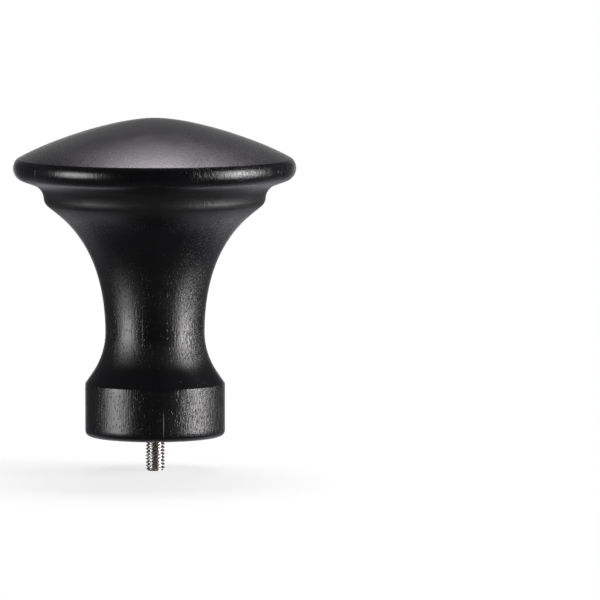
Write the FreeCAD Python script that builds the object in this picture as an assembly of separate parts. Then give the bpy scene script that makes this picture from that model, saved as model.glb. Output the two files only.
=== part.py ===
import FreeCAD, Part
import math
import os

# Curtain pole finial: a turned wooden body with a steel stud in its base.
# Lengths are in millimetres and angles in degrees. The origin is the middle of the base face, and the
# axis of the turning is +Z. Directions along an outline are measured from +X towards +Z.

# Base band
BASE_RADIUS = 14.5
BASE_EDGE_ROUND = 1.1
BAND_HEIGHT = 10.9
SHOULDER_ROUND = 0.3

# Cone and waist above the band
CONE_LEAN = 34.2
WAIST_RADIUS = 10.3
WAIST_CURVE_RADIUS = 14.4

# Flare, from the waist up to the ring
FLARE_RISE = 26.94
FLARE_LOWER_PULL = 19.25
FLARE_UPPER_PULL = 2.65
FLARE_EDGE_SLOPE = 44.5

# Ring with a rounded lower edge, and the cove under the rim
RING_RADIUS = 22.86
RING_EDGE_ROUND = 2.09
RING_SLOPE = 83.0
COVE_RADIUS = 3.14
UNDERSIDE_SLOPE = 19.8

# Rim, a bead that meets the dome in a shallow crease
RIM_OVERHANG = 6.46
RIM_RISE = 7.16
RIM_BEAD_RADIUS = 2.66
BEAD_TOP_SLOPE = 43.0

# Dome, from the crease up to the crown
DOME_RISE = 10.39
DOME_EDGE_SLOPE = 30.0
DOME_EDGE_PULL = 7.6
DOME_CROWN_PULL = 8.05

# Stud: a machine thread below the base, then a shank and a pointed wood thread inside the body
STUD_RADIUS = 2.0
STUD_LENGTH = 7.3
STUD_TIP_CHAMFER = 0.5
SHANK_STEP = 0.23
SHANK_LENGTH = 3.0
WOOD_THREAD_STEP = 0.1
WOOD_THREAD_LENGTH = 11.7
POINT_LENGTH = 3.0
POINT_RADIUS = 0.3

# Pilot hole for the stud
HOLE_CLEARANCE = 0.05
HOLE_END_CLEARANCE = 0.5
DRILL_POINT_ANGLE = 118.0

# A rounding between two straight runs takes at most this share of the shorter one
LARGEST_ROUNDING = 0.9

OUTWARD = 0.0
UPWARD = 90.0
INWARD = 180.0


def at(radius, height):
    """Point of an outline, in the plane of +X and +Z."""
    return FreeCAD.Vector(radius, 0, height)


def step(point, direction, distance):
    """Point reached from another by going a distance in a direction."""
    angle = math.radians(direction)
    return point + at(math.cos(angle), math.sin(angle)) * distance


def crossing(first, first_direction, second, second_direction):
    """Point where two straight lines of an outline cross."""
    one = step(at(0, 0), first_direction, 1)
    two = step(at(0, 0), second_direction, 1)
    between = second - first
    travel = (between.x * two.z - between.z * two.x) / (one.x * two.z - one.z * two.x)
    return step(first, first_direction, travel)


def corner_reach(radius, way_in, way_out):
    """Length that a rounding takes from each of the two runs at its corner."""
    return radius * math.tan(math.radians(abs(way_out - way_in) / 2))


def corner_arc(corner, reach, way_in, way_out):
    """Arc that rounds the corner between two runs and takes the same length from both."""
    half_turn = (way_out - way_in) / 2
    start = step(corner, way_in, -reach)
    end = step(corner, way_out, reach)
    to_centre = way_in + half_turn + math.copysign(90, half_turn)
    half_angle = math.radians(abs(half_turn))
    depth = reach * (1 - math.cos(half_angle)) / math.sin(half_angle)
    return Part.Arc(start, step(corner, to_centre, depth), end).toShape()


def bead_point(centre, radius, direction):
    """Point of a bead where its outline runs in the given direction."""
    return step(centre, direction - 90, radius)


def sweep(start, way_in, start_pull, end, way_out, end_pull):
    """Smooth curve between two points with set directions; a longer pull keeps to its direction longer."""
    curve = Part.BezierCurve()
    curve.setPoles([start, step(start, way_in, start_pull), step(end, way_out, -end_pull), end])
    return curve.toShape()


def first_point(edge):
    return edge.valueAt(edge.FirstParameter)


def last_point(edge):
    return edge.valueAt(edge.LastParameter)


def joined(pieces):
    """Closed wire of the pieces in order, with a straight line wherever one ends short of the next."""
    edges = []
    for piece, following in zip(pieces, pieces[1:] + pieces[:1]):
        edges.append(piece)
        start = last_point(piece)
        end = first_point(following)
        if start.distanceToPoint(end) > 1e-6:
            edges.append(Part.LineSegment(start, end).toShape())
    return Part.Wire(edges)


def turned(wire):
    """Solid made by turning a closed outline about the axis."""
    solid = Part.Face(wire).revolve(at(0, 0), at(0, 1), 360)
    return Part.Solid(solid.Shells[0])


def line(start, end):
    return Part.LineSegment(start, end).toShape()


def base_pieces():
    """Base edge, and the shoulder where the band meets the cone."""
    base_corner = at(BASE_RADIUS, 0)
    shoulder = at(BASE_RADIUS, BAND_HEIGHT)
    cone_direction = UPWARD + CONE_LEAN
    base_reach = corner_reach(BASE_EDGE_ROUND, OUTWARD, UPWARD)
    shoulder_reach = corner_reach(SHOULDER_ROUND, UPWARD, cone_direction)
    return [
        corner_arc(base_corner, base_reach, OUTWARD, UPWARD),
        corner_arc(shoulder, shoulder_reach, UPWARD, cone_direction),
    ]


def waist_piece():
    """Hollow curve from the cone to the narrowest place."""
    shoulder = at(BASE_RADIUS, BAND_HEIGHT)
    cone_direction = UPWARD + CONE_LEAN
    corner = crossing(shoulder, cone_direction, at(WAIST_RADIUS, 0), UPWARD)
    room = LARGEST_ROUNDING * shoulder.distanceToPoint(corner)
    reach = min(corner_reach(WAIST_CURVE_RADIUS, cone_direction, UPWARD), room)
    return corner_arc(corner, reach, cone_direction, UPWARD)


def flare_and_ring_pieces(waist):
    """Curve that opens from the waist, and the ring's lower edge."""
    ring_corner = at(RING_RADIUS, waist.z + FLARE_RISE)
    edge_reach = corner_reach(RING_EDGE_ROUND, FLARE_EDGE_SLOPE, RING_SLOPE)
    ring_edge = corner_arc(ring_corner, edge_reach, FLARE_EDGE_SLOPE, RING_SLOPE)
    flare_end = first_point(ring_edge)
    flare = sweep(waist, UPWARD, FLARE_LOWER_PULL, flare_end, FLARE_EDGE_SLOPE, FLARE_UPPER_PULL)
    return [flare, ring_edge]


def rim_pieces(ring_corner):
    """Cove under the rim, and the rim's bead up to the crease where the dome starts."""
    crease_direction = INWARD - BEAD_TOP_SLOPE
    bead_radius = RIM_BEAD_RADIUS
    centre = at(RING_RADIUS + RIM_OVERHANG - bead_radius, ring_corner.z + RIM_RISE)
    start = bead_point(centre, bead_radius, UNDERSIDE_SLOPE)
    middle = bead_point(centre, bead_radius, (UNDERSIDE_SLOPE + crease_direction) / 2)
    end = bead_point(centre, bead_radius, crease_direction)
    cove_corner = crossing(ring_corner, RING_SLOPE, start, UNDERSIDE_SLOPE)
    shorter_run = min(cove_corner.distanceToPoint(ring_corner), cove_corner.distanceToPoint(start))
    room = LARGEST_ROUNDING * shorter_run
    reach = min(corner_reach(COVE_RADIUS, RING_SLOPE, UNDERSIDE_SLOPE), room)
    cove = corner_arc(cove_corner, reach, RING_SLOPE, UNDERSIDE_SLOPE)
    return [cove, Part.Arc(start, middle, end).toShape()]


def dome_piece(rim_end, bead_height):
    """Low dome from the crease to the crown, level where it meets the axis."""
    crown = at(0, bead_height + DOME_RISE)
    dome_direction = INWARD - DOME_EDGE_SLOPE
    return sweep(rim_end, dome_direction, DOME_EDGE_PULL, crown, INWARD, DOME_CROWN_PULL)


def pilot_hole_pieces():
    """Blind hole for the stud, from the drill's point down to the base face."""
    radius = STUD_RADIUS + WOOD_THREAD_STEP + HOLE_CLEARANCE
    depth = SHANK_LENGTH + WOOD_THREAD_LENGTH + POINT_LENGTH + HOLE_END_CLEARANCE
    point_height = radius / math.tan(math.radians(DRILL_POINT_ANGLE / 2))
    return [
        line(at(0, depth + point_height), at(radius, depth)),
        line(at(radius, depth), at(radius, 0)),
    ]


def turned_body():
    """Whole wooden body, turned from one outline that runs from the base face to the crown."""
    waist_curve = waist_piece()
    waist = last_point(waist_curve)
    ring_corner = at(RING_RADIUS, waist.z + FLARE_RISE)
    rim = rim_pieces(ring_corner)
    bead_height = ring_corner.z + RIM_RISE
    pieces = base_pieces()
    pieces.append(waist_curve)
    pieces += flare_and_ring_pieces(waist)
    pieces += rim
    pieces.append(dome_piece(last_point(rim[-1]), bead_height))
    pieces += pilot_hole_pieces()
    return turned(joined(pieces))


def threaded_stud():
    """Stud at its thread's outer size, from the chamfered tip up to the point in the wood."""
    shank_radius = STUD_RADIUS - SHANK_STEP
    wood_thread_radius = STUD_RADIUS + WOOD_THREAD_STEP
    wood_thread_end = SHANK_LENGTH + WOOD_THREAD_LENGTH
    corners = [
        at(0, -STUD_LENGTH),
        at(STUD_RADIUS - STUD_TIP_CHAMFER, -STUD_LENGTH),
        at(STUD_RADIUS, STUD_TIP_CHAMFER - STUD_LENGTH),
        at(STUD_RADIUS, 0),
        at(shank_radius, 0),
        at(shank_radius, SHANK_LENGTH),
        at(wood_thread_radius, SHANK_LENGTH),
        at(wood_thread_radius, wood_thread_end),
        at(POINT_RADIUS, wood_thread_end + POINT_LENGTH),
        at(0, wood_thread_end + POINT_LENGTH),
    ]
    return turned(joined([line(start, end) for start, end in zip(corners, corners[1:])]))


os.makedirs("parts", exist_ok=True)
turned_body().exportStep("parts/turned_body.step")
threaded_stud().exportStep("parts/threaded_stud.step")
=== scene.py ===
import math

import bmesh
import bpy
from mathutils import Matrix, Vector


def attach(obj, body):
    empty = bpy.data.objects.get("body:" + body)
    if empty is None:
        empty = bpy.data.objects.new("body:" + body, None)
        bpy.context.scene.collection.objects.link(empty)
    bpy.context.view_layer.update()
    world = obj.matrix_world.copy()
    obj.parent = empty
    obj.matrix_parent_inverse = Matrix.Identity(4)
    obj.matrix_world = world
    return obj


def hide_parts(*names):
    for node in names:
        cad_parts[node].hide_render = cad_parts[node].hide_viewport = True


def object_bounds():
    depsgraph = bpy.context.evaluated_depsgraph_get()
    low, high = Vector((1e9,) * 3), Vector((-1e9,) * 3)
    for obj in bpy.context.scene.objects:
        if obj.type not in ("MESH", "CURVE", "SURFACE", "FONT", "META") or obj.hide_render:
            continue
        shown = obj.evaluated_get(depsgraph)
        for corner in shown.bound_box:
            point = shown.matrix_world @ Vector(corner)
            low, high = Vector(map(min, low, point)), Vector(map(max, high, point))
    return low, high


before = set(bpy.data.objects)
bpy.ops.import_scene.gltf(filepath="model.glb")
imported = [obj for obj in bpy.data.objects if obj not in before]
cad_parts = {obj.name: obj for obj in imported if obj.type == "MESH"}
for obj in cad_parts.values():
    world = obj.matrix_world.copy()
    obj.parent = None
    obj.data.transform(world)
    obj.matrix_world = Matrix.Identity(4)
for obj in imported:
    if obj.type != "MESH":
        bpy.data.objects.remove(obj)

cad_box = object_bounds()

# Lengths are in metres unless a name says otherwise. The finial's axis is Z and its base face is z = 0.
MM = 0.001

# Camera, as the photograph was taken
PHOTO_SIDE_PX = 600
AXIS_PX = 154.9
PX_PER_M = 4826.0
CAMERA_DISTANCE = 1.3891
CAMERA_PITCH = math.radians(5.055)
AIM_HEIGHT = 28.2 * MM
SENSOR_MM = 36.0
CLIP_END = 40.0

# Stud and its 60 degree threads, whose crests are flat for an eighth of the pitch
STUD_RADIUS = 2.0 * MM
STUD_LENGTH = 7.3 * MM
TIP_RADIUS = 1.5 * MM
THREAD_PITCH = 0.7 * MM
THREAD_DEPTH = 0.43 * MM
SHANK_RADIUS = 1.77 * MM
SHANK_LENGTH = 3.0 * MM
WOOD_THREAD_RADIUS = 2.1 * MM
WOOD_THREAD_PITCH = 1.6 * MM
WOOD_THREAD_DEPTH = 0.6 * MM
WOOD_THREAD_END = 14.7 * MM
POINT_RADIUS = 0.3 * MM
POINT_END = 17.7 * MM
CREST_SHARE = 1 / 8
FLANK_SLOPE = math.sqrt(3)
SIDES = 96
ROWS_PER_PITCH = 14
SHARP_ANGLE = math.radians(35)

# Steel of the stud: turning marks run round it, and the roots of its thread get painted shade, in the darker
# colour its stains also have
STEEL_COLOUR = (0.72, 0.70, 0.67, 1)
# Darker colour for the random stains, also used as painted shade in the thread's roots
STEEL_STAIN_AND_ROOT_SHADE = (0.42, 0.41, 0.39, 1)
STEEL_SMOOTH = 0.26
STEEL_ROUGH = 0.36
MARK_SIZE = 0.25 * MM
MARK_FLATNESS = 5
MARK_DEPTH = 0.0004 * MM
STAIN_SIZE = 1.2 * MM
STAIN_START = 0.3
STAIN_END = 0.6
STAINED_SHARE = 0.7

# Cloudy values: their middle, the range that most of them lie in, and how fine they are
CLOUD_MIDDLE = 0.5
CLOUD_LOW = 0.3
CLOUD_HIGH = 0.7
PLAIN_DETAIL = 2.0
FINE_DETAIL = 3.0

# Lacquered wood. The coarse side, towards +X, has a wavy border.
LACQUER_COLOUR = (0.0022, 0.0020, 0.0025, 1)
PORE_COLOUR = (0.0012, 0.0010, 0.0010, 1)
LACQUER_IOR = 1.5
COARSE_START = 4 * MM
COARSE_FULL = 9 * MM
BORDER_WAVE = 9 * MM
BORDER_REACH = 3 * MM

# Long vessels all round the body, stretched along the grain with their waves and then once more
VESSEL_SPACING = 0.9 * MM
VESSEL_RADIUS = 0.13 * MM
VESSEL_SHARE = 0.5
VESSEL_DEPTH = 0.03 * MM
VESSEL_STRETCH = 10
VESSEL_WAVE = 2 * MM
VESSEL_WAVE_STRETCH = 5
VESSEL_REACH = 0.25 * MM

# Short pits, creases in patches, grain and streaks. A low value is the strength where they are weakest.
PORE_BOTTOM = 0.4
FINE_WAVE = 0.8 * MM
FINE_REACH = 0.12 * MM
PIT_SPACING = 0.44 * MM
PIT_RADIUS = 0.14 * MM
PIT_SHARE = 0.75
PIT_DEPTH = 0.055 * MM
PIT_STRETCH = 2.6
PIT_LOW = 0.35
CREASE_SIZE = 0.6 * MM
CREASE_WIDTH = 0.05
CREASE_DEPTH = 0.02 * MM
CREASE_STRETCH = 2.5
CREASE_LOW = 0.1
PATCH_SIZE = 5 * MM
PATCH_STRETCH = 2
PATCH_START = 0.35
PATCH_END = 0.6
PATCH_LOW = 0.4
GRAIN_SIZE = 0.36 * MM
GRAIN_DEPTH = 0.08 * MM
GRAIN_STRETCH = 2
GRAIN_LOW = 0.3
STREAK_SIZE = 0.35 * MM
STREAK_DEPTH = 0.042 * MM
STREAK_STRETCH = 9

# Grain by height. A zone of four heights rises over the first two and falls over the other two.
CROWN_START = 59 * MM
CROWN_FULL = 64 * MM
CROWN_GRAIN = 0.25
DOME_START = 56 * MM
DOME_FULL = 58 * MM
DOME_GRAIN = 1.5
RIM_START = 44 * MM
RIM_FULL = 50 * MM
RIM_GRAIN = 0.6
CONE_ZONE = (10.6 * MM, 11.4 * MM, 14 * MM, 18 * MM)
CONE_GRAIN = 0.25

# Roughness: a cloudy satin, and what the pores, the creases and some heights add to it
SATIN_SIZE = 4 * MM
SATIN_LOW = 0.20
SATIN_HIGH = 0.25
PORE_ROUGHNESS = 0.3
CREASE_ROUGHNESS = 0.08
NECK_ZONE = (12 * MM, 17 * MM, 32 * MM, 44 * MM)
NECK_DULLNESS = 0.05
UPPER_NECK_START = 22 * MM
UPPER_NECK_FULL = 28 * MM
UPPER_NECK_DULLNESS = 0.07
BAND_END = 11 * MM
BAND_FULL = 10 * MM
BAND_DULLNESS = 0.085
ZONE_CORE = 1 / 3
HOLLOW_MIDDLE = 17.6 * MM
HOLLOW_HALF = 4 * MM
HOLLOW_DULLNESS = 0.08
RING_MIDDLE = 49.6 * MM
RING_HALF = 5 * MM
RING_DULLNESS = 0.25

# Places where the bump leans the surface by a few degrees: the base edge, the ring's face and the rim
BASE_EASED = 2.0 * MM
BASE_EASE_RADIUS = 2.6 * MM
RING_LEAN_START = 46.5 * MM
RING_LEAN_END = 51.5 * MM
RING_LEAN_REACH = 0.21 * MM
RIM_LEAN_START = 53.4 * MM
RIM_LEAN_END = 57.4 * MM
RIM_LEAN_REACH = 0.22 * MM

# Floor: it takes shadow near the finial and is plain white further off. Only its nearest part is mirrored.
FLOOR_HALF_SIDE = 20.0
FLOOR_COLOUR = (0.30, 0.30, 0.30, 1)
FLOOR_GLOW = 0.74
SHADOW_NEAR = 0.03
SHADOW_FAR = 0.16
MIRRORED_NEAR = 0.004
MIRRORED_FAR = 0.012

# Lamps. A radiance is what a mirror at the finial would show at the lamp's brightest place.
LAMP_DISTANCE = 1.2
SIDE_TINT = (1.0, 0.975, 0.98)
TOP_TINT = (1.0, 0.93, 0.99)
NO_TINT = (1, 1, 1)
RIGHT_AZIMUTH = 75.5
RIGHT_ELEVATION = 3
RIGHT_WIDTH = 0.95
RIGHT_HEIGHT = 1.6
RIGHT_RADIANCE = 18.4
LEFT_AZIMUTH = -66
LEFT_ELEVATION = -1
LEFT_WIDTH = 1.0
LEFT_HEIGHT = 1.2
LEFT_RADIANCE = 9.9
TOP_AZIMUTH = 170.5
TOP_ELEVATION = 60
TOP_WIDTH = 1.2
TOP_HEIGHT = 1.07
TOP_RADIANCE = 21.4
BEHIND_AZIMUTH = 180
BEHIND_ELEVATION = 21
BEHIND_WIDTH = 0.9
BEHIND_HEIGHT = 0.6
BEHIND_RADIANCE = 0.2

# Profiles of the lamps: powers that sharpen the fall of the light towards their edges
SIDE_FALL = 1.6
TOP_RISE = 2.2
TOP_FALL_LOW = 0.4
TOP_FALL_GAIN = 3.0
TOP_END = 0.85

# World: a dim studio, lit ground and a white backdrop, with limits on the parts of a unit direction
STUDIO_COLOUR = (0.95, 0.92, 1.0, 1)
STUDIO_FRONT = 0.035
STUDIO_REST = 0.095
FRONT_FULL = -1.0
FRONT_END = -0.2
GROUND_STRENGTH = 1.7
GROUND_ASIDE = 0.3
GROUND_FALL = 2.0
GROUND_START = -0.27
GROUND_FULL = -0.6
GROUND_SHIFT = 0.08
GROUND_NARROW = 0.2
GROUND_WIDE = 0.55
WHITE = (1, 1, 1, 1)
BACKDROP_HALF_WIDTH = math.sin(math.radians(29))
BACKDROP_HALF_HEIGHT = math.sin(math.radians(17))
BACKDROP_FULL = 0.25

# Sockets of a colour mix, which share their names with the sockets for plain numbers
MIX_SHARE = 0
MIX_FIRST = 6
MIX_SECOND = 7
MIX_RESULT = 2


def make_camera():
    """Camera a little above the finial, far off, with the finial left of the middle as in the photograph."""
    data = bpy.data.cameras.new("camera")
    data.sensor_width = SENSOR_MM
    data.lens = SENSOR_MM * PX_PER_M * CAMERA_DISTANCE / PHOTO_SIDE_PX
    data.clip_end = CLIP_END
    camera = bpy.data.objects.new("camera", data)
    side = (PHOTO_SIDE_PX / 2 - AXIS_PX) / PX_PER_M
    back = CAMERA_DISTANCE * math.cos(CAMERA_PITCH)
    height = AIM_HEIGHT + CAMERA_DISTANCE * math.sin(CAMERA_PITCH)
    camera.location = (side, -back, height)
    camera.rotation_euler = (math.pi / 2 - CAMERA_PITCH, 0, 0)
    bpy.context.collection.objects.link(camera)
    bpy.context.scene.camera = camera


def node(tree, kind, **values):
    """New node with its settings."""
    made = tree.nodes.new(kind)
    for key, value in values.items():
        setattr(made, key, value)
    return made


def wire(tree, socket, value):
    """Links an output to a socket, or writes a plain value on it."""
    if isinstance(value, bpy.types.NodeSocket):
        tree.links.new(value, socket)
    else:
        socket.default_value = value


def fill(tree, made, *values):
    """Wires values to the first sockets of a node, in order."""
    for socket, value in zip(made.inputs, values):
        wire(tree, socket, value)
    return made


def calc(tree, operation, *values):
    """Result of one step of arithmetic."""
    return fill(tree, node(tree, "ShaderNodeMath", operation=operation), *values).outputs[0]


def vector_calc(tree, operation, *values):
    """Result of one step of arithmetic on vectors."""
    return fill(tree, node(tree, "ShaderNodeVectorMath", operation=operation), *values).outputs[0]


def fade(tree, value, start, end, low=0.0, high=1.0):
    """Soft step from low to high while a value goes from start to end."""
    made = node(tree, "ShaderNodeMapRange", interpolation_type="SMOOTHSTEP")
    return fill(tree, made, value, start, end, low, high).outputs[0]


def plateau(tree, value, start, full, last_full, end):
    """Mask that rises from 0 at the start to 1, and falls back to 0 at the end."""
    return calc(tree, "MULTIPLY", fade(tree, value, start, full), fade(tree, value, end, last_full))


def zone(tree, value, middle, half):
    """Mask that is 1 in the core of a zone, falls off from there and is 0 outside the zone."""
    away = calc(tree, "ABSOLUTE", calc(tree, "SUBTRACT", value, middle))
    return fade(tree, away, half, ZONE_CORE * half)


def length(tree, vector):
    """Length of a vector."""
    return fill(tree, node(tree, "ShaderNodeVectorMath", operation="LENGTH"), vector).outputs["Value"]


def axes(tree, vector):
    """The X, Y and Z of a vector."""
    made = fill(tree, node(tree, "ShaderNodeSeparateXYZ"), vector)
    return made.outputs["X"], made.outputs["Y"], made.outputs["Z"]


def coordinates(tree, kind):
    """Object coordinates in metres, or for a world the generated direction."""
    return node(tree, "ShaderNodeTexCoord").outputs[kind]


def noise(tree, place, size, detail=PLAIN_DETAIL):
    """Cloudy value from 0 to 1 with patches of about the given size; its second result is a cloudy vector."""
    made = node(tree, "ShaderNodeTexNoise")
    wire(tree, made.inputs["Vector"], place)
    wire(tree, made.inputs["Scale"], 1 / size)
    wire(tree, made.inputs["Detail"], detail)
    return made.outputs["Fac"], made.outputs["Color"]


def stretched(tree, place, times):
    """Place squeezed along Z, so that a texture made from it is that many times longer along the grain."""
    return vector_calc(tree, "MULTIPLY", place, (1, 1, 1 / times))


def swayed(tree, place, size, reach):
    """Place shifted a little this way and that, so that straight lines in a texture become wavy."""
    cloud = noise(tree, place, size)[1]
    shift = vector_calc(tree, "SUBTRACT", cloud, (CLOUD_MIDDLE, CLOUD_MIDDLE, CLOUD_MIDDLE))
    return vector_calc(tree, "MULTIPLY_ADD", shift, (2 * reach, 2 * reach, 0), place)


def pores(tree, place, spacing, radius, share):
    """Mask of round pores about a spacing apart; only the given share of the places has one."""
    made = node(tree, "ShaderNodeTexVoronoi", feature="F1")
    wire(tree, made.inputs["Vector"], place)
    wire(tree, made.inputs["Scale"], 1 / spacing)
    outline = fade(tree, made.outputs["Distance"], radius / spacing, PORE_BOTTOM * radius / spacing)
    draw = fill(tree, node(tree, "ShaderNodeSeparateColor"), made.outputs["Color"])
    kept = calc(tree, "LESS_THAN", draw.outputs[0], share)
    return calc(tree, "MULTIPLY", outline, kept)


def creases(tree, place, size, width):
    """Mask of thin wavy lines, the contour lines of a cloudy value."""
    cloud = noise(tree, place, size, FINE_DETAIL)[0]
    away = calc(tree, "ABSOLUTE", calc(tree, "SUBTRACT", cloud, CLOUD_MIDDLE))
    return fade(tree, away, width, 0.0)


def mixed_colour(tree, share, first, second):
    """Colour that goes from the first to the second as a share goes from 0 to 1."""
    made = node(tree, "ShaderNodeMix", data_type="RGBA")
    wire(tree, made.inputs[MIX_SHARE], share)
    wire(tree, made.inputs[MIX_FIRST], first)
    wire(tree, made.inputs[MIX_SECOND], second)
    return made.outputs[MIX_RESULT]


def mixed_shader(tree, share, first, second):
    """Shader that goes from the first to the second as a share goes from 0 to 1."""
    return fill(tree, node(tree, "ShaderNodeMixShader"), share, first, second).outputs[0]


def glow(tree, strength):
    """White light of a strength."""
    made = node(tree, "ShaderNodeEmission")
    wire(tree, made.inputs["Strength"], strength)
    return made.outputs[0]


def surroundings(tree, colour, strength):
    """Light of a world, of a colour and a strength."""
    made = node(tree, "ShaderNodeBackground")
    wire(tree, made.inputs["Color"], colour)
    wire(tree, made.inputs["Strength"], strength)
    return made.outputs[0]


def emptied_tree(owner):
    """Node tree of a material or a world, with no nodes in it."""
    owner.use_nodes = True
    owner.node_tree.nodes.clear()
    return owner.node_tree


def finish_tree(tree, kind, shader):
    """Ends a node tree in its output node."""
    wire(tree, node(tree, kind).inputs["Surface"], shader)


def raise_surface(tree, shader, height):
    """Gives a shader a bump from a height in metres."""
    bump = node(tree, "ShaderNodeBump")
    wire(tree, bump.inputs["Distance"], 1.0)
    wire(tree, bump.inputs["Height"], height)
    wire(tree, shader.inputs["Normal"], bump.outputs[0])


def polar(azimuth, elevation, distance):
    """Point at a direction from the finial's middle; azimuth 0 is towards the camera, 90 towards +X."""
    a = math.radians(azimuth)
    e = math.radians(elevation)
    middle = Vector((0, 0, AIM_HEIGHT))
    way = Vector((math.sin(a) * math.cos(e), -math.cos(a) * math.cos(e), math.sin(e)))
    return middle + way * distance


def softbox(name, azimuth, elevation, width, height, radiance, profile, tint):
    """Rectangular soft lamp that faces the finial and isn't seen by the camera."""
    data = bpy.data.lights.new(name, "AREA")
    data.shape = "RECTANGLE"
    data.size = width
    data.size_y = height
    data.energy = radiance * math.pi * width * height
    data.color = tint
    data.use_nodes = True
    strength = profile(data.node_tree)
    wire(data.node_tree, data.node_tree.nodes["Emission"].inputs["Strength"], strength)
    lamp = bpy.data.objects.new(name, data)
    lamp.location = polar(azimuth, elevation, LAMP_DISTANCE)
    towards = Vector((0, 0, AIM_HEIGHT)) - lamp.location
    lamp.rotation_euler = towards.to_track_quat("-Z", "Y").to_euler()
    lamp.visible_camera = False
    bpy.context.collection.objects.link(lamp)


def lamp_place(tree):
    """Place across and up a lamp, each from 0 to 1."""
    across, up, _ = axes(tree, node(tree, "ShaderNodeNewGeometry").outputs["Parametric"])
    return across, up


def hump(tree, place):
    """Curve that is 1 in the middle of a lamp and 0 at its two edges, 4 x (1 - x)."""
    rest = calc(tree, "SUBTRACT", 1.0, place)
    return calc(tree, "MULTIPLY", calc(tree, "MULTIPLY", place, rest), 4.0)


def hot_middle(tree):
    """Strength of a lamp that is brightest in the middle, as a softbox with one bulb is."""
    across, up = lamp_place(tree)
    both = calc(tree, "MULTIPLY", hump(tree, across), hump(tree, up))
    return calc(tree, "POWER", both, SIDE_FALL)


def hot_top(tree):
    """Strength of a lamp that grows brighter and narrower up to near its upper edge."""
    across, up = lamp_place(tree)
    fall = calc(tree, "MULTIPLY_ADD", up, TOP_FALL_GAIN, TOP_FALL_LOW)
    sides = calc(tree, "POWER", hump(tree, across), fall)
    rise = calc(tree, "POWER", up, TOP_RISE)
    return calc(tree, "MULTIPLY", calc(tree, "MULTIPLY", sides, rise), fade(tree, up, 1.0, TOP_END))


def even(tree):
    """Strength of a lamp that is the same all over."""
    return 1.0


def make_lamps():
    """Softboxes on both sides and high behind the finial, and a faint panel behind it."""
    softbox("softbox_right", RIGHT_AZIMUTH, RIGHT_ELEVATION, RIGHT_WIDTH, RIGHT_HEIGHT,
            RIGHT_RADIANCE, hot_middle, SIDE_TINT)
    softbox("softbox_left", LEFT_AZIMUTH, LEFT_ELEVATION, LEFT_WIDTH, LEFT_HEIGHT,
            LEFT_RADIANCE, hot_middle, SIDE_TINT)
    softbox("softbox_top", TOP_AZIMUTH, TOP_ELEVATION, TOP_WIDTH, TOP_HEIGHT,
            TOP_RADIANCE, hot_top, TOP_TINT)
    softbox("panel_behind", BEHIND_AZIMUTH, BEHIND_ELEVATION, BEHIND_WIDTH, BEHIND_HEIGHT,
            BEHIND_RADIANCE, even, NO_TINT)


def studio_strength(tree, direction):
    """Strength of the studio, darkest towards the camera, with lit ground behind and a little to +X."""
    x, y, z = axes(tree, direction)
    dim = fade(tree, y, FRONT_FULL, FRONT_END, STUDIO_FRONT, STUDIO_REST)
    backward = calc(tree, "POWER", calc(tree, "MAXIMUM", y, 0.0), GROUND_FALL)
    below = fade(tree, z, GROUND_START, GROUND_FULL, 0.0, GROUND_STRENGTH)
    sideways = calc(tree, "ABSOLUTE", calc(tree, "SUBTRACT", x, GROUND_SHIFT))
    aside = fade(tree, sideways, GROUND_NARROW, GROUND_WIDE, 1.0, GROUND_ASIDE)
    return calc(tree, "MULTIPLY_ADD", backward, calc(tree, "MULTIPLY", below, aside), dim)


def backdrop_mask(tree, direction):
    """Mask of the backdrop, an oval behind the finial on the camera's line of sight, with a soft edge."""
    levelled = vector_calc(tree, "ADD", direction, (0, 0, math.sin(CAMERA_PITCH)))
    shares = (1 / BACKDROP_HALF_WIDTH, 0, 1 / BACKDROP_HALF_HEIGHT)
    away = length(tree, vector_calc(tree, "MULTIPLY", levelled, shares))
    behind = calc(tree, "GREATER_THAN", axes(tree, direction)[1], 0.0)
    return calc(tree, "MULTIPLY", behind, fade(tree, away, 1.0, BACKDROP_FULL))


def make_world():
    """Dim studio for the light, and plain white for the camera and for what is mirrored from behind."""
    world = bpy.data.worlds.new("studio")
    tree = emptied_tree(world)
    direction = coordinates(tree, "Generated")
    path = node(tree, "ShaderNodeLightPath")
    mirrored = calc(tree, "MAXIMUM", path.outputs["Is Glossy Ray"], path.outputs["Is Transmission Ray"])
    shown = calc(tree, "MULTIPLY", mirrored, backdrop_mask(tree, direction))
    seen = calc(tree, "MAXIMUM", path.outputs["Is Camera Ray"], shown)
    studio = surroundings(tree, STUDIO_COLOUR, studio_strength(tree, direction))
    white = surroundings(tree, WHITE, 1.0)
    finish_tree(tree, "ShaderNodeOutputWorld", mixed_shader(tree, seen, studio, white))
    bpy.context.scene.world = world


def pale_floor():
    """Pale floor near the finial that fades to plain white, the same white as the background."""
    material = bpy.data.materials.new("pale_floor")
    tree = emptied_tree(material)
    path = node(tree, "ShaderNodeLightPath")
    camera_ray = path.outputs["Is Camera Ray"]
    matt = node(tree, "ShaderNodeBsdfDiffuse")
    wire(tree, matt.inputs["Color"], FLOOR_COLOUR)
    lift = glow(tree, calc(tree, "MULTIPLY", camera_ray, FLOOR_GLOW))
    near = fill(tree, node(tree, "ShaderNodeAddShader"), matt.outputs[0], lift).outputs[0]
    away = length(tree, coordinates(tree, "Object"))
    seen = mixed_shader(tree, fade(tree, away, SHADOW_NEAR, SHADOW_FAR), near, glow(tree, camera_ray))
    unmirrored = calc(tree, "MULTIPLY", fade(tree, away, MIRRORED_NEAR, MIRRORED_FAR),
                      path.outputs["Is Glossy Ray"])
    clear = node(tree, "ShaderNodeBsdfTransparent").outputs[0]
    finish_tree(tree, "ShaderNodeOutputMaterial", mixed_shader(tree, unmirrored, seen, clear))
    return material


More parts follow.
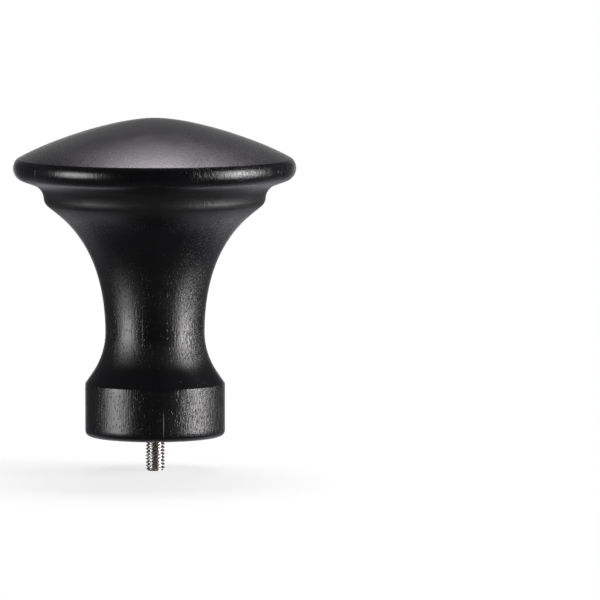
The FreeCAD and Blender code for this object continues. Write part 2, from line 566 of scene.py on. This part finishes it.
def make_floor():
    """Plain pale floor at the stud's tip. It doesn't stand in the way of the lamps."""
    side = FLOOR_HALF_SIDE
    height = cad_box[0].z
    corners = [(-side, -side, height), (side, -side, height), (side, side, height), (-side, side, height)]
    mesh = bpy.data.meshes.new("floor")
    mesh.from_pydata(corners, [], [(0, 1, 2, 3)])
    mesh.materials.append(pale_floor())
    floor = bpy.data.objects.new("floor", mesh)
    bpy.context.collection.objects.link(floor)
    floor.visible_shadow = False


def grain_strength(tree, height):
    """Strength of the grain at a height, lower on the crown, the rim and the cone."""
    crown = fade(tree, height, CROWN_START, CROWN_FULL, 1.0, CROWN_GRAIN)
    rim = fade(tree, height, RIM_START, RIM_FULL, 1.0, RIM_GRAIN)
    cone = fade(tree, plateau(tree, height, *CONE_ZONE), 0.0, 1.0, 1.0, CONE_GRAIN)
    return calc(tree, "MULTIPLY", calc(tree, "MULTIPLY", crown, rim), cone)


def on_coarse(tree, coarse, low):
    """Strength that is 1 on the coarse side and low on the other."""
    return fade(tree, coarse, 0.0, 1.0, low, 1.0)


def vessel_mask(tree, place, side):
    """Long narrow vessels, which end where the dome cuts across the grain."""
    flat = stretched(tree, place, VESSEL_WAVE_STRETCH)
    long_way = stretched(tree, swayed(tree, flat, VESSEL_WAVE, VESSEL_REACH), VESSEL_STRETCH)
    return calc(tree, "MULTIPLY", pores(tree, long_way, VESSEL_SPACING, VESSEL_RADIUS, VESSEL_SHARE), side)


def pit_mask(tree, wavy, coarse, strength):
    """Short pits, many on the coarse side."""
    pits = pores(tree, stretched(tree, wavy, PIT_STRETCH), PIT_SPACING, PIT_RADIUS, PIT_SHARE)
    pits = calc(tree, "MULTIPLY", pits, on_coarse(tree, coarse, PIT_LOW))
    return calc(tree, "MULTIPLY", pits, strength)


def crease_mask(tree, place, wavy, coarse):
    """Fine creases of the lacquer, in patches."""
    cloud = noise(tree, stretched(tree, place, PATCH_STRETCH), PATCH_SIZE)[0]
    patches = fade(tree, cloud, PATCH_START, PATCH_END, PATCH_LOW, 1.0)
    lines = creases(tree, stretched(tree, wavy, CREASE_STRETCH), CREASE_SIZE, CREASE_WIDTH)
    strength = calc(tree, "MULTIPLY", patches, on_coarse(tree, coarse, CREASE_LOW))
    return calc(tree, "MULTIPLY", lines, strength)


def grain_cloud(tree, wavy, coarse, height):
    """Grain of the wood under the lacquer, strong on the coarse side and on the dome."""
    cloud = noise(tree, stretched(tree, wavy, GRAIN_STRETCH), GRAIN_SIZE, FINE_DETAIL)[0]
    dome = fade(tree, height, DOME_START, DOME_FULL, 0.0, DOME_GRAIN)
    return calc(tree, "MULTIPLY", cloud, calc(tree, "MAXIMUM", on_coarse(tree, coarse, GRAIN_LOW), dome))


def streak_cloud(tree, wavy, side):
    """Long fine streaks on the sides of the body."""
    cloud = noise(tree, stretched(tree, wavy, STREAK_STRETCH), STREAK_SIZE, FINE_DETAIL)[0]
    return calc(tree, "MULTIPLY", cloud, side)


def leaned(tree, relief, height):
    """Relief with a base edge that falls away as a circle does, and a rim and a ring's face that lean."""
    below = calc(tree, "MAXIMUM", calc(tree, "SUBTRACT", BASE_EASED, height), 0.0)
    fall = calc(tree, "MULTIPLY", calc(tree, "MULTIPLY", below, below), -1 / (2 * BASE_EASE_RADIUS))
    relief = calc(tree, "ADD", relief, fall)
    rim = fade(tree, height, RIM_LEAN_START, RIM_LEAN_END, 0.0, RIM_LEAN_REACH)
    relief = calc(tree, "ADD", relief, rim)
    ring = fade(tree, height, RING_LEAN_START, RING_LEAN_END, 0.0, RING_LEAN_REACH)
    return calc(tree, "ADD", relief, ring)


def satin_roughness(tree, place, height):
    """Roughness of the lacquer between its pores, higher on the neck, the ring, the hollow and the band."""
    satin = fade(tree, noise(tree, place, SATIN_SIZE)[0], CLOUD_LOW, CLOUD_HIGH, SATIN_LOW, SATIN_HIGH)
    neck = plateau(tree, height, *NECK_ZONE)
    satin = calc(tree, "MULTIPLY_ADD", neck, NECK_DULLNESS, satin)
    ring = zone(tree, height, RING_MIDDLE, RING_HALF)
    satin = calc(tree, "MULTIPLY_ADD", ring, RING_DULLNESS, satin)
    hollow = zone(tree, height, HOLLOW_MIDDLE, HOLLOW_HALF)
    satin = calc(tree, "MULTIPLY_ADD", hollow, HOLLOW_DULLNESS, satin)
    satin = calc(tree, "ADD", satin, fade(tree, height, BAND_END, BAND_FULL, 0.0, BAND_DULLNESS))
    upper = calc(tree, "MULTIPLY", fade(tree, height, UPPER_NECK_START, UPPER_NECK_FULL), neck)
    return calc(tree, "MULTIPLY_ADD", upper, UPPER_NECK_DULLNESS, satin)


def lacquer():
    """Satin black lacquer over open-pored wood whose grain runs along Z."""
    material = bpy.data.materials.new("black_lacquer")
    material.use_nodes = True
    tree = material.node_tree
    shader = tree.nodes["Principled BSDF"]
    place = coordinates(tree, "Object")
    across, _, height = axes(tree, swayed(tree, place, BORDER_WAVE, BORDER_REACH))
    coarse = fade(tree, across, COARSE_START, COARSE_FULL)
    side = fade(tree, height, CROWN_START, CROWN_FULL, 1.0, 0.0)
    wavy = swayed(tree, place, FINE_WAVE, FINE_REACH)
    strength = grain_strength(tree, height)
    vessels = vessel_mask(tree, place, side)
    pits = pit_mask(tree, wavy, coarse, strength)
    strokes = crease_mask(tree, place, wavy, coarse)
    relief = calc(tree, "MULTIPLY", pits, -PIT_DEPTH)
    relief = calc(tree, "MULTIPLY_ADD", strokes, -CREASE_DEPTH, relief)
    relief = calc(tree, "MULTIPLY_ADD", grain_cloud(tree, wavy, coarse, height), GRAIN_DEPTH, relief)
    relief = calc(tree, "MULTIPLY_ADD", streak_cloud(tree, wavy, side), STREAK_DEPTH, relief)
    relief = calc(tree, "MULTIPLY", relief, strength)
    relief = calc(tree, "MULTIPLY_ADD", vessels, -VESSEL_DEPTH, relief)
    raise_surface(tree, shader, leaned(tree, relief, height))
    pores_open = calc(tree, "MAXIMUM", vessels, pits)
    satin = satin_roughness(tree, place, height)
    satin = calc(tree, "MULTIPLY_ADD", calc(tree, "MULTIPLY", strokes, strength), CREASE_ROUGHNESS, satin)
    wire(tree, shader.inputs["Roughness"], calc(tree, "MULTIPLY_ADD", pores_open, PORE_ROUGHNESS, satin))
    wire(tree, shader.inputs["Base Color"], mixed_colour(tree, pores_open, LACQUER_COLOUR, PORE_COLOUR))
    wire(tree, shader.inputs["IOR"], LACQUER_IOR)
    return material


def steel():
    """Plain machined steel with painted shade in the thread's roots, darker stains and fine turning marks."""
    material = bpy.data.materials.new("machined_steel")
    material.use_nodes = True
    tree = material.node_tree
    shader = tree.nodes["Principled BSDF"]
    place = coordinates(tree, "Object")
    reach = length(tree, vector_calc(tree, "MULTIPLY", place, (1, 1, 0)))
    # Painted shade: the colour darkens from the thread's crests down into its roots
    crest = fade(tree, reach, STUD_RADIUS - THREAD_DEPTH, STUD_RADIUS)
    stains = fade(tree, noise(tree, place, STAIN_SIZE)[0], STAIN_START, STAIN_END, STAINED_SHARE, 1.0)
    unstained_and_unshaded = calc(tree, "MULTIPLY", crest, stains)
    marks = noise(tree, stretched(tree, place, 1 / MARK_FLATNESS), MARK_SIZE)[0]
    wire(tree, shader.inputs["Base Color"], mixed_colour(tree, unstained_and_unshaded, STEEL_STAIN_AND_ROOT_SHADE, STEEL_COLOUR))
    wire(tree, shader.inputs["Metallic"], 1.0)
    roughness = fade(tree, marks, CLOUD_LOW, CLOUD_HIGH, STEEL_SMOOTH, STEEL_ROUGH)
    wire(tree, shader.inputs["Roughness"], roughness)
    raise_surface(tree, shader, calc(tree, "MULTIPLY", marks, MARK_DEPTH))
    return material


def thread_radius(outer, depth, pitch, turn, z):
    """Radius of a thread with a flat crest and a flat root, at a height and a turn round the axis."""
    along = (z / pitch - turn) % 1.0
    from_crest = abs(along - 0.5) * pitch
    drop = max(0.0, from_crest - pitch * CREST_SHARE / 2) * FLANK_SLOPE
    return outer - min(drop, depth)


def stud_radius(turn, z):
    """Radius of the whole stud at a height and a turn round the axis."""
    if z < 0:
        chamfer = TIP_RADIUS + (z + STUD_LENGTH)
        return min(thread_radius(STUD_RADIUS, THREAD_DEPTH, THREAD_PITCH, turn, z), chamfer)
    if z < SHANK_LENGTH:
        return SHANK_RADIUS
    taper = (POINT_END - z) / (POINT_END - WOOD_THREAD_END)
    limit = POINT_RADIUS + (WOOD_THREAD_RADIUS - POINT_RADIUS) * min(taper, 1.0)
    wood = thread_radius(WOOD_THREAD_RADIUS, WOOD_THREAD_DEPTH, WOOD_THREAD_PITCH, turn, z)
    return min(wood, limit)


def stud_ring(mesh, z):
    """Ring of the stud's points at a height."""
    ring = []
    for side in range(SIDES):
        turn = side / SIDES
        radius = stud_radius(turn, z)
        angle = 2 * math.pi * turn
        ring.append(mesh.verts.new((radius * math.cos(angle), radius * math.sin(angle), z)))
    return ring


def stud_mesh():
    """Closed mesh of the stud, as rings of points from the tip to the point in the wood."""
    step = THREAD_PITCH / ROWS_PER_PITCH
    rows = math.ceil((STUD_LENGTH + POINT_END) / step)
    mesh = bmesh.new()
    rings = [stud_ring(mesh, min(-STUD_LENGTH + row * step, POINT_END)) for row in range(rows + 1)]
    for lower, upper in zip(rings, rings[1:]):
        for side in range(SIDES):
            after = (side + 1) % SIDES
            mesh.faces.new((lower[side], lower[after], upper[after], upper[side]))
    mesh.faces.new(list(reversed(rings[0])))
    mesh.faces.new(rings[-1])
    data = bpy.data.meshes.new("steel_stud")
    mesh.to_mesh(data)
    mesh.free()
    data.shade_smooth()
    data.set_sharp_from_angle(angle=SHARP_ANGLE)
    return data


def make_stud():
    """Stud with its true threads, in place of the plain solid."""
    stud = bpy.data.objects.new("steel_stud", stud_mesh())
    bpy.context.collection.objects.link(stud)
    stud.data.materials.append(steel())
    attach(stud, "root")
    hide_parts("threaded_stud")


make_camera()
make_world()
make_lamps()
make_floor()
make_stud()
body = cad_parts["turned_body"]
body.material_slots[0].material = lacquer()
bpy.context.scene.view_settings.view_transform = "Standard"
